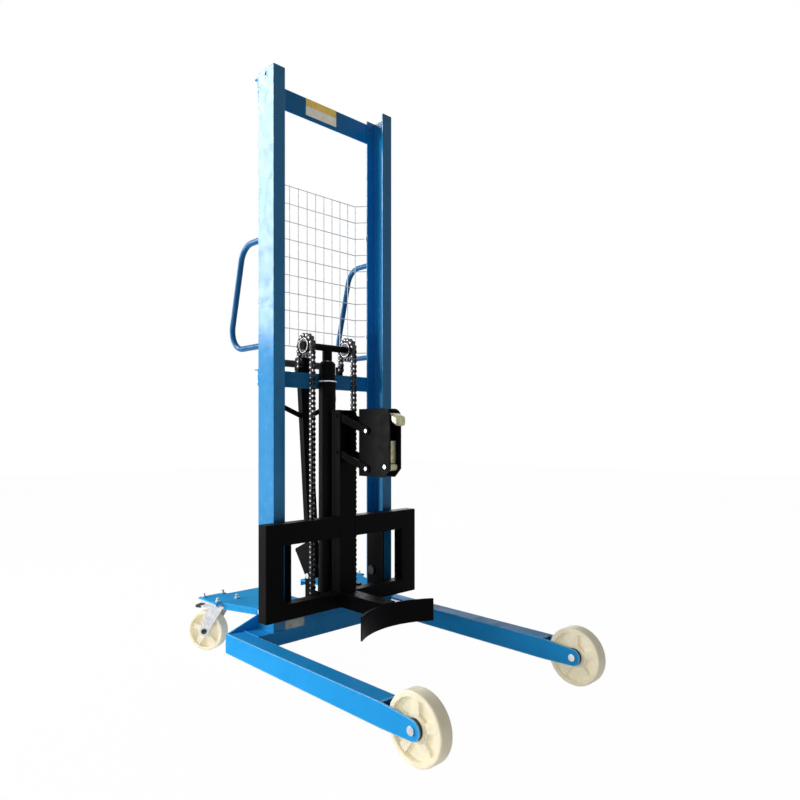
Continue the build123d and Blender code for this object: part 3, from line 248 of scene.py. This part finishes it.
# Blue nodes that look different from each other in the photograph
# These copies are lighter or darker than the blue enamel as painted light and shade, and the legs' copy paints a
# highlight on its edges
own_finishes = {
    "rear_platform": "scuffed_blue",
    "leg_left": "edged_blue",
    "leg_right": "edged_blue",
    "upright_left": "rolled_blue",
    "upright_right": "rolled_blue",
    "push_handles": "tube_blue",
}

for node, piece in nodes.items():
    piece.data.materials.clear()
    piece.data.materials.append(finishes[own_finishes.get(node, node_slots[node])])


def add_piece(name, mesh, finish, body):
    """Links a mesh as a named piece with its finish, riding on a body."""
    piece = bpy.data.objects.new(name, mesh)
    bpy.context.scene.collection.objects.link(piece)
    mesh.materials.clear()
    mesh.materials.append(finishes[finish])
    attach(piece, body)
    return piece


def smooth(mesh, angle=35):
    mesh.shade_smooth()
    mesh.set_sharp_from_angle(angle=radians(angle))


def mesh_of(name, shape):
    mesh = bpy.data.meshes.new(name)
    bmesh.ops.recalc_face_normals(shape, faces=shape.faces)
    shape.to_mesh(mesh)
    shape.free()
    smooth(mesh)
    return mesh


def rounded(node, width, segments=2):
    """Puts a copy with rounded edges in a CAD node's place."""
    finish = own_finishes.get(node, node_slots[node])
    shape = bmesh.new()
    shape.from_mesh(nodes[node].data)
    bmesh.ops.remove_doubles(shape, verts=shape.verts, dist=1e-6)
    bmesh.ops.dissolve_limit(shape, angle_limit=radians(1), verts=shape.verts, edges=shape.edges)
    piece = add_piece(f"{node}_rounded", mesh_of(f"{node}_rounded", shape), finish, node_bodies[node])
    bevel = piece.modifiers.new("rounded_edges", "BEVEL")
    bevel.width = width
    bevel.segments = segments
    bevel.limit_method = "ANGLE"
    bevel.angle_limit = radians(40)
    piece.modifiers.new("even_shading", "WEIGHTED_NORMAL").keep_sharp = True
    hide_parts(node)


# Widths of the rounded edges, and the nodes that have them
edge_widths = {
    0.008: ("clamp_beak",),
    0.005: ("leg_left", "leg_right"),
    0.003: ("carriage_post", "pump_body", "clamp_jaw"),
    0.0025: ("carriage_frame", "base_beam"),
    0.002: (
        "front_wheel_left", "front_wheel_right", "caster_wheel_left", "caster_wheel_right", "drum_cradle",
    ),
    0.0015: (
        "upright_left", "upright_right", "top_beam", "mid_beam", "back_plate", "rear_platform",
        "clamp_plates", "caster_fork_left", "caster_fork_right", "caster_pedal_left", "caster_pedal_right",
        "tiller",
    ),
    0.001: (
        "upper_links", "lower_links", "caster_plates", "cylinder_gland", "cylinder_barrel", "guide_plates",
        "chain_lugs", "chain_anchors", "release_lever", "crosshead", "plunger", "cam_roller",
        "tiller_grips", "upper_rollers", "lower_rollers",
    ),
    0.0006: (
        "sprockets", "beam_studs", "caster_bolts", "front_axles", "caster_axle_left", "caster_axle_right",
        "post_pins", "clamp_pins", "roller_pins", "tiller_pin",
    ),
}
for edge_width, edge_nodes in edge_widths.items():
    for edge_node in edge_nodes:
        rounded(edge_node, edge_width)


def cylinder_x(shape, centre, radius, length, sides=16):
    """Adds a closed cylinder along X."""
    place = Matrix.Translation(centre) @ Matrix.Rotation(pi / 2, 4, "Y")
    bmesh.ops.create_cone(
        shape, cap_ends=True, segments=sides, radius1=radius, radius2=radius, depth=length, matrix=place
    )


def prism_x(shape, outline, x_low, x_high):
    """Adds a closed plate along X with an outline of (y, z) points."""
    rings = [[shape.verts.new((x, y, z)) for y, z in outline] for x in (x_low, x_high)]
    for ring in rings:
        shape.faces.new(ring)
    for i in range(len(outline)):
        j = (i + 1) % len(outline)
        shape.faces.new((rings[0][i], rings[0][j], rings[1][j], rings[1][i]))


# Roller chains: pins one pitch apart, up the front run, over the sprocket seats and down to the anchors
chain_x = 0.1
chain_pitch = 0.01905
sprocket_teeth = 13
roller_r, roller_w = 0.0059, 0.0112
pin_r, pin_half = 0.0028, 0.0108
link_end_r, link_t = 0.0082, 0.0019
inner_plate_x, outer_plate_x = 0.0069, 0.0089
waist_angle = 40
_, sprocket_y, sprocket_z = joints["sprocket_spin"]["pos_m"]
lug_top_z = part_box("chain_front_runs")[0].z
anchor_top_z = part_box("chain_rear_runs")[0].z
seat_step = 2 * pi / sprocket_teeth
seats_used = sprocket_teeth // 2 + 1
chain_r = chain_pitch / 2 / sin(pi / sprocket_teeth)
first_drop = chain_pitch - (pi - (seats_used - 1) * seat_step) * chain_r
seat_angles = [seat * seat_step for seat in range(seats_used)]
wrap_pins = [(sprocket_y + chain_r * cos(a), sprocket_z + chain_r * sin(a)) for a in seat_angles]
front_count = int((sprocket_z - first_drop - lug_top_z) / chain_pitch) + 2
rear_count = int((sprocket_z - anchor_top_z) / chain_pitch) + 1
front_pins = [(sprocket_y - chain_r, sprocket_z - first_drop - i * chain_pitch) for i in range(front_count)]
rear_pins = [(sprocket_y + chain_r, sprocket_z - i * chain_pitch) for i in range(rear_count, -1, -1)]


def link_outline(first, second):
    """The waisted outline of a link plate between two pins, as (y, z) points."""
    heading = atan2(second[1] - first[1], second[0] - first[0])
    outline = []
    for centre, facing in ((first, heading + pi), (second, heading)):
        for step in range(-6, 7):
            angle = facing + step / 6 * (pi - radians(waist_angle))
            outline.append((centre[0] + link_end_r * cos(angle), centre[1] + link_end_r * sin(angle)))
    return outline


def chain(name, pins, first_link, body):
    """Both chains along the same pins, with inner and outer link plates in turn."""
    shape = bmesh.new()
    for side in (-1, 1):
        for index, (first, second) in enumerate(zip(pins, pins[1:])):
            plate_x = inner_plate_x if (first_link + index) % 2 else outer_plate_x
            outline = link_outline(first, second)
            for edge in (-1, 1):
                middle = side * chain_x + edge * plate_x
                prism_x(shape, outline, middle - link_t / 2, middle + link_t / 2)
        for y, z in pins:
            cylinder_x(shape, (side * chain_x, y, z), roller_r, roller_w)
            cylinder_x(shape, (side * chain_x, y, z), pin_r, 2 * pin_half, 10)
    return add_piece(name, mesh_of(name, shape), "chain_links", body)


finishes["chain_links"] = oiled_chain()
rear_chain = chain("rear_chain_links", rear_pins, 0, "chassis")
wrap_chain = chain("wrapped_chain_links", wrap_pins + front_pins[:1], rear_count, "crosshead")
front_chain = chain("front_chain_links", front_pins, rear_count + seats_used, "carriage")
for piece, node in (
    (rear_chain, "chain_rear_runs"),
    (wrap_chain, "chain_wraps"),
    (front_chain, "chain_front_runs"),
):
    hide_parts(node)
rear_chain.parent = None
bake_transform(rear_chain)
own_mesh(front_chain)


def tube(shape, points, radius, sides=8, radii=None, closed=False):
    """Adds a round tube along points, mitred at each bend."""
    points = [Vector(point) for point in points]
    count = len(points)
    rings = []
    for i, point in enumerate(points):
        before = points[i - 1] if closed or i else point
        after = points[(i + 1) % count] if closed or i + 1 < count else point
        heading = (after - before).normalized()
        across = across - across.dot(heading) * heading if rings else heading.orthogonal()
        across.normalize()
        other = heading.cross(across)
        reach = radii[i] if radii else radius
        turns = [2 * pi * k / sides for k in range(sides)]
        rings.append([shape.verts.new(point + reach * (cos(t) * across + sin(t) * other)) for t in turns])
    pairs = list(zip(rings, rings[1:])) + ([(rings[-1], rings[0])] if closed else [])
    for first, second in pairs:
        for k in range(sides):
            shape.faces.new((first[k], first[(k + 1) % sides], second[(k + 1) % sides], second[k]))
    if not closed:
        shape.faces.new(rings[0])
        shape.faces.new(list(reversed(rings[-1])))


# Wire guard: straight uprights welded in front of rows that bend forward to the mast
wire_r = 0.00175
mesh_half, mesh_wing, mesh_lap = 0.205, 0.032, 0.008
mesh_columns, mesh_rows, mesh_row = 10, 9, 0.068
guard_low, guard_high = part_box("guard_mesh")
mesh_y = guard_high.y - wire_r
flange_y = guard_low.y + wire_r
mesh_low_z = guard_low.z + wire_r
wing_x = mesh_half + mesh_wing
shape = bmesh.new()
for row in range(mesh_rows + 1):
    z = mesh_low_z + row * mesh_row
    row_line = [(wing_x + mesh_lap, flange_y), (wing_x, flange_y), (mesh_half, mesh_y)]
    row_points = [(-x, y, z) for x, y in row_line] + [(x, y, z) for x, y in reversed(row_line)]
    tube(shape, row_points, wire_r)
weld_depth = 0.2 * wire_r
column_y = mesh_y - 2 * wire_r + weld_depth
for column in range(mesh_columns + 1):
    x = -mesh_half + column * 2 * mesh_half / mesh_columns
    tube(shape, [(x, column_y, guard_low.z), (x, column_y, guard_high.z)], wire_r)
for side in (-1, 1):
    x = side * (wing_x + mesh_lap)
    tube(shape, [(x, flange_y, guard_low.z), (x, flange_y, guard_high.z)], wire_r)
guard = add_piece("guard_wires", mesh_of("guard_wires", shape), "wire", "chassis")
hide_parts("guard_mesh")

# Clips that hold the guard's outer wires on the rear flanges
clip_size, clip_edge, clip_rows = (0.016, 0.006, 0.018), 0.0015, (1, 7)
shape = bmesh.new()
for side in (-1, 1):
    for row in clip_rows:
        place = (side * (wing_x + mesh_lap / 2), flange_y + wire_r, mesh_low_z + row * mesh_row)
        made = bmesh.ops.create_cube(
            shape, size=1, matrix=Matrix.Translation(place) @ Matrix.Diagonal((*clip_size, 1))
        )
        clip_edges = list({edge for vert in made["verts"] for edge in vert.link_edges})
        bmesh.ops.bevel(shape, geom=clip_edges, offset=clip_edge, segments=2, affect="EDGES")
clips = add_piece("guard_clips", mesh_of("guard_clips", shape), "zinc", "chassis")


def ring_x(shape, x, y, z, inner, outer, thickness, sides=40):
    """Adds a flat ring with its axis along X."""
    corners = ((inner, -1), (outer, -1), (outer, 1), (inner, 1))
    loops = []
    for k in range(sides):
        turn = 2 * pi * k / sides
        loops.append([
            shape.verts.new((x + face * thickness / 2, y + r * cos(turn), z + r * sin(turn)))
            for r, face in corners
        ])
    for first, second in zip(loops, loops[1:] + loops[:1]):
        for c in range(4):
            shape.faces.new((first[c], first[(c + 1) % 4], second[(c + 1) % 4], second[c]))


# Bright retaining rings on both hub faces of the sprockets
hub_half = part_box("sprockets")[1].x - chain_x
ring_inner, ring_outer, ring_t = 0.0262, 0.028, 0.0008
shape = bmesh.new()
for side in (-1, 1):
    for face in (-1, 1):
        ring_place = side * chain_x + face * (hub_half + ring_t / 2)
        ring_x(shape, ring_place, sprocket_y, sprocket_z, ring_inner, ring_outer, ring_t)
rings = add_piece("sprocket_rings", mesh_of("sprocket_rings", shape), "wire", "sprockets")


def turned_z(shape, centre, profile, sides=48):
    """Adds a ring turned about Z from a closed profile of (radius, height) points."""
    loops = []
    for k in range(sides):
        turn = 2 * pi * k / sides
        loops.append([
            shape.verts.new((centre[0] + r * cos(turn), centre[1] + r * sin(turn), centre[2] + h))
            for r, h in profile
        ])
    for first, second in zip(loops, loops[1:] + loops[:1]):
        for c in range(len(profile)):
            d = (c + 1) % len(profile)
            shape.faces.new((first[c], first[d], second[d], second[c]))


# Bright flange ring where the gland sits on the barrel
barrel_top_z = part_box("cylinder_barrel")[1].z
gland_low, gland_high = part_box("cylinder_gland")
gland_y = (gland_low.y + gland_high.y) / 2
flange_inner, flange_outer, flange_h, flange_edge = 0.0322, 0.0375, 0.005, 0.001
shape = bmesh.new()
turned_z(shape, (0, gland_y, barrel_top_z), [
    (flange_inner, 0), (flange_outer - flange_edge, 0), (flange_outer, flange_edge),
    (flange_outer, flange_h - flange_edge), (flange_outer - flange_edge, flange_h), (flange_inner, flange_h),
])
flange = add_piece("gland_flange", mesh_of("gland_flange", shape), "zinc", "chassis")

# Return spring of the pump, with closed end turns
spring_low, spring_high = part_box("pump_spring")
spring_turns, end_turns, turn_points = 8, 0.75, 40
coil_wire = 0.0021
coil_r = (spring_high.x - spring_low.x) / 2 - coil_wire
spring_y = (spring_low.y + spring_high.y) / 2
coil_rise = spring_high.z - spring_low.z - 2 * coil_wire
open_pitch = (coil_rise - 4 * end_turns * coil_wire) / spring_turns
coil_points = []
for step in range(int((spring_turns + 2 * end_turns) * turn_points) + 1):
    turn = step / turn_points
    open_turn = min(max(turn - end_turns, 0), spring_turns)
    height = 2 * coil_wire * (turn - open_turn) + open_pitch * open_turn
    coil_points.append((
        coil_r * cos(2 * pi * turn), spring_y + coil_r * sin(2 * pi * turn), spring_low.z + coil_wire + height
    ))
shape = bmesh.new()
tube(shape, coil_points, coil_wire, 10)
coil = add_piece("pump_coil", mesh_of("pump_coil", shape), "zinc", "chassis")
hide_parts("pump_spring")
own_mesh(coil)

# Dark rubber shoes over the ends of the brake pedals
shoe_reach, shoe_size, shoe_edge = 0.066, (0.036, 0.026, 0.011), 0.003
for side_name in ("left", "right"):
    brake = joints[f"caster_{side_name}_brake"]
    heading = Vector((brake["axis"][1], -brake["axis"][0], 0))
    place = Matrix.Translation(Vector(brake["pos_m"]) + shoe_reach * heading)
    turned = Matrix.Rotation(atan2(-heading.x, heading.y), 4, "Z") @ Matrix.Diagonal((*shoe_size, 1))
    shape = bmesh.new()
    bmesh.ops.create_cube(shape, size=1, matrix=place @ turned)
    bmesh.ops.bevel(shape, geom=list(shape.edges), offset=shoe_edge, segments=3, affect="EDGES")
    shoe_name = f"pedal_shoe_{side_name}"
    shoe = add_piece(shoe_name, mesh_of(shoe_name, shape), "rubber", f"caster_pedal_{side_name}")


plate_t, plate_edge = 0.0014, 0.0005
rivet_inset, rivet_r, rivet_dome = 0.006, 0.0022, 0.6


def riveted_plate(name, low, high, front_y, finish):
    """A bare plate on a face towards the drum, with a domed rivet near each corner."""
    shape = bmesh.new()
    centre = Vector(((low[0] + high[0]) / 2, front_y - plate_t / 2, (low[1] + high[1]) / 2))
    size = Matrix.Diagonal((high[0] - low[0], plate_t, high[1] - low[1], 1))
    bmesh.ops.create_cube(shape, size=1, matrix=Matrix.Translation(centre) @ size)
    bmesh.ops.bevel(shape, geom=list(shape.edges), offset=plate_edge, segments=2, affect="EDGES")
    for x in (low[0] + rivet_inset, high[0] - rivet_inset):
        for z in (low[1] + rivet_inset, high[1] - rivet_inset):
            place = Matrix.Translation((x, front_y - plate_t, z)) @ Matrix.Diagonal((1, rivet_dome, 1, 1))
            bmesh.ops.create_uvsphere(shape, u_segments=14, v_segments=8, radius=rivet_r, matrix=place)
    return add_piece(name, mesh_of(name, shape), finish, "chassis")


# Bare plates where the real truck carries its labels
beam_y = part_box("top_beam")[0].y
label_x, label_low_z, label_split_z, label_high_z = 0.074, 2.055, 2.091, 2.12
riveted_plate("label_lower", (-label_x, label_low_z), (label_x, label_split_z), beam_y, "plate_white")
riveted_plate("label_upper", (-label_x, label_split_z), (label_x, label_high_z), beam_y, "plate_yellow")
base_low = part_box("base_beam")[0]
name_plate_low, name_plate_high = (-0.236, 0.134), (-0.153, 0.166)
riveted_plate("base_name_plate", name_plate_low, name_plate_high, base_low.y, "plate_metal")


ripple, ripple_low, bead_sides = 0.0032, 0.82, 7


def weld(shape, points, radius, closed=False):
    """Adds a rippled weld bead along straight runs between points."""
    line = []
    corners = [Vector(p) for p in points]
    for first, second in zip(corners, corners[1:] + (corners[:1] if closed else [])):
        steps = max(2, round((second - first).length / (ripple / 2)))
        line += [first.lerp(second, step / steps) for step in range(steps)]
    if not closed:
        line.append(corners[-1])
    radii = [radius * (1.0 if step % 2 else ripple_low) for step in range(len(line))]
    tube(shape, line, radius, bead_sides, radii, closed)


def circle_points(centre, radius, count=36):
    """Points round a circle that faces along Y."""
    turns = [2 * pi * k / count for k in range(count)]
    return [(centre[0] + radius * cos(t), centre[1], centre[2] + radius * sin(t)) for t in turns]


# Weld beads of the chassis: uprights on the base, base on the legs, platform and handles on the rear flanges
leg_inner_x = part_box("leg_right")[0].x
upright_low, upright_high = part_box("upright_right")
platform_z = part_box("rear_platform")[1].z
handle_low, handle_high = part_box("push_handles")
handle_r = 0.011
handle_x = handle_high.x - handle_r
bead, thin_bead = 0.0035, 0.0025
shape = bmesh.new()
for side in (-1, 1):
    outer_x, inner_x = side * upright_high.x, side * upright_low.x
    floor_z = upright_low.z
    weld(shape, [(inner_x, upright_low.y, floor_z), (outer_x, upright_low.y, floor_z),
                 (outer_x, upright_high.y, floor_z)], bead)
    seam_x = side * leg_inner_x
    weld(shape, [(seam_x, base_low.y, base_low.z), (seam_x, base_low.y, floor_z),
                 (seam_x, upright_high.y, floor_z)], bead)
    weld(shape, [(inner_x, upright_high.y, platform_z), (outer_x, upright_high.y, platform_z)], bead)
    for z in (handle_low.z + handle_r, handle_high.z - handle_r):
        handle_end = (side * handle_x, upright_high.y + bead / 2, z)
        weld(shape, circle_points(handle_end, handle_r), bead, closed=True)
chassis_welds = add_piece("chassis_welds", mesh_of("chassis_welds", shape), "blue_paint", "chassis")

# Weld beads of the carriage: frame halves on the post, cradle arm on the post
post_low, post_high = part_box("carriage_post")
frame_low, frame_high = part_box("carriage_frame")
low_bar_h, top_bar_h = 0.055, 0.075
arm_half, arm_z = 0.03, post_low.z + 0.054
shape = bmesh.new()
for side in (-1, 1):
    seam_x = side * post_high.x
    for low_z, high_z in ((frame_low.z, frame_low.z + low_bar_h), (frame_high.z - top_bar_h, frame_high.z)):
        weld(shape, [(seam_x, post_low.y, low_z), (seam_x, post_low.y, high_z)], thin_bead)
    arm_x = side * arm_half
    weld(shape, [(arm_x, post_low.y, post_low.z), (arm_x, post_low.y, arm_z)], thin_bead)
weld(shape, [(-arm_half, post_low.y, arm_z), (arm_half, post_low.y, arm_z)], thin_bead)
carriage_welds = add_piece("carriage_welds", mesh_of("carriage_welds", shape), "black_paint", "carriage")

def seen_directly(tree):
    """1 for camera, glossy and transmission rays, which show the surface itself, and 0 for other rays."""
    rays = tree.nodes.new("ShaderNodeLightPath")
    seen = rays.outputs["Is Camera Ray"]
    for kind in ("Is Glossy Ray", "Is Transmission Ray"):
        either = tree.nodes.new("ShaderNodeMath")
        either.operation = "MAXIMUM"
        tree.links.new(seen, either.inputs[0])
        tree.links.new(rays.outputs[kind], either.inputs[1])
        seen = either.outputs[0]
    return seen


# Stage: a pale floor that keeps a soft shadow, and a white surround for cameras and reflections
floor_half, floor_shade, floor_glow = 12, 0.86, 0.985
stage_material = bpy.data.materials.new("pale_floor")
stage_material.use_nodes = True
stage_tree = stage_material.node_tree
stage_shader = stage_tree.nodes["Principled BSDF"]
stage_shader.inputs["Base Color"].default_value = (floor_shade, floor_shade, floor_shade, 1)
stage_shader.inputs["Roughness"].default_value = 0.9
glow = stage_tree.nodes.new("ShaderNodeEmission")
glow.inputs["Strength"].default_value = 1.0
lift = stage_tree.nodes.new("ShaderNodeMath")
lift.operation = "MULTIPLY"
lift.inputs[1].default_value = floor_glow
stage_tree.links.new(seen_directly(stage_tree), lift.inputs[0])
blend_shader = stage_tree.nodes.new("ShaderNodeMixShader")
stage_tree.links.new(lift.outputs[0], blend_shader.inputs[0])
stage_tree.links.new(stage_shader.outputs[0], blend_shader.inputs[1])
stage_tree.links.new(glow.outputs[0], blend_shader.inputs[2])
stage_tree.links.new(blend_shader.outputs[0], stage_tree.nodes["Material Output"].inputs["Surface"])
shape = bmesh.new()
bmesh.ops.create_grid(shape, x_segments=1, y_segments=1, size=floor_half)
floor_mesh = bpy.data.meshes.new("floor")
shape.to_mesh(floor_mesh)
shape.free()
floor_mesh.materials.append(stage_material)
floor = bpy.data.objects.new("floor", floor_mesh)
bpy.context.scene.collection.objects.link(floor)

surround_light = 0.1
world = bpy.data.worlds.new("studio")
bpy.context.scene.world = world
world.use_nodes = True
world_tree = world.node_tree
surround = world_tree.nodes["Background"]
surround.inputs["Color"].default_value = (1, 1, 1, 1)
world_level = world_tree.nodes.new("ShaderNodeMapRange")
world_level.inputs["To Min"].default_value = surround_light
world_level.inputs["To Max"].default_value = 1.0
world_tree.links.new(seen_directly(world_tree), world_level.inputs["Value"])
world_tree.links.new(world_level.outputs["Result"], surround.inputs["Strength"])


def area_light(name, place, target, width, height, power):
    lamp = bpy.data.lights.new(name, "AREA")
    lamp.shape = "RECTANGLE"
    lamp.size = width
    lamp.size_y = height
    lamp.energy = power
    holder = bpy.data.objects.new(name, lamp)
    holder.location = place
    holder.rotation_euler = (Vector(target) - Vector(place)).to_track_quat("-Z", "Y").to_euler()
    bpy.context.scene.collection.objects.link(holder)


area_light("left_key", place=(-3.3, 2.6, 0.9), target=(0, 0, 0.7), width=1.0, height=1.6, power=106)
area_light("low_fill", place=(-2.4, -0.6, 0.5), target=(-0.2, -0.5, 0.1), width=0.8, height=0.8, power=12.5)
area_light("rear_strip", place=(-1.55, 2.27, 2.5), target=(-0.2, 0.3, 1.4), width=0.6, height=2.0, power=57)
area_light("right_fill", place=(3.4, 2.8, 1.8), target=(0, 0, 0.9), width=2.4, height=2.4, power=42)

# Camera at the place and heading that the photograph was fitted to
photo_side = 800
focal_pixels = 647.78
horizon_row = 431.94
camera_place = Vector((-1.5455, -1.71494, 0.8378))
camera_heading = Vector((0.6963, 0.7178, 0))
lens = bpy.data.cameras.new("photo_camera")
lens.sensor_width = 36
lens.lens = lens.sensor_width * focal_pixels / photo_side
lens.shift_y = (horizon_row - photo_side / 2) / photo_side
camera = bpy.data.objects.new("photo_camera", lens)
camera.location = camera_place
camera.rotation_euler = camera_heading.to_track_quat("-Z", "Y").to_euler()
bpy.context.scene.collection.objects.link(camera)
bpy.context.scene.camera = camera
bpy.context.scene.view_settings.view_transform = "Standard"
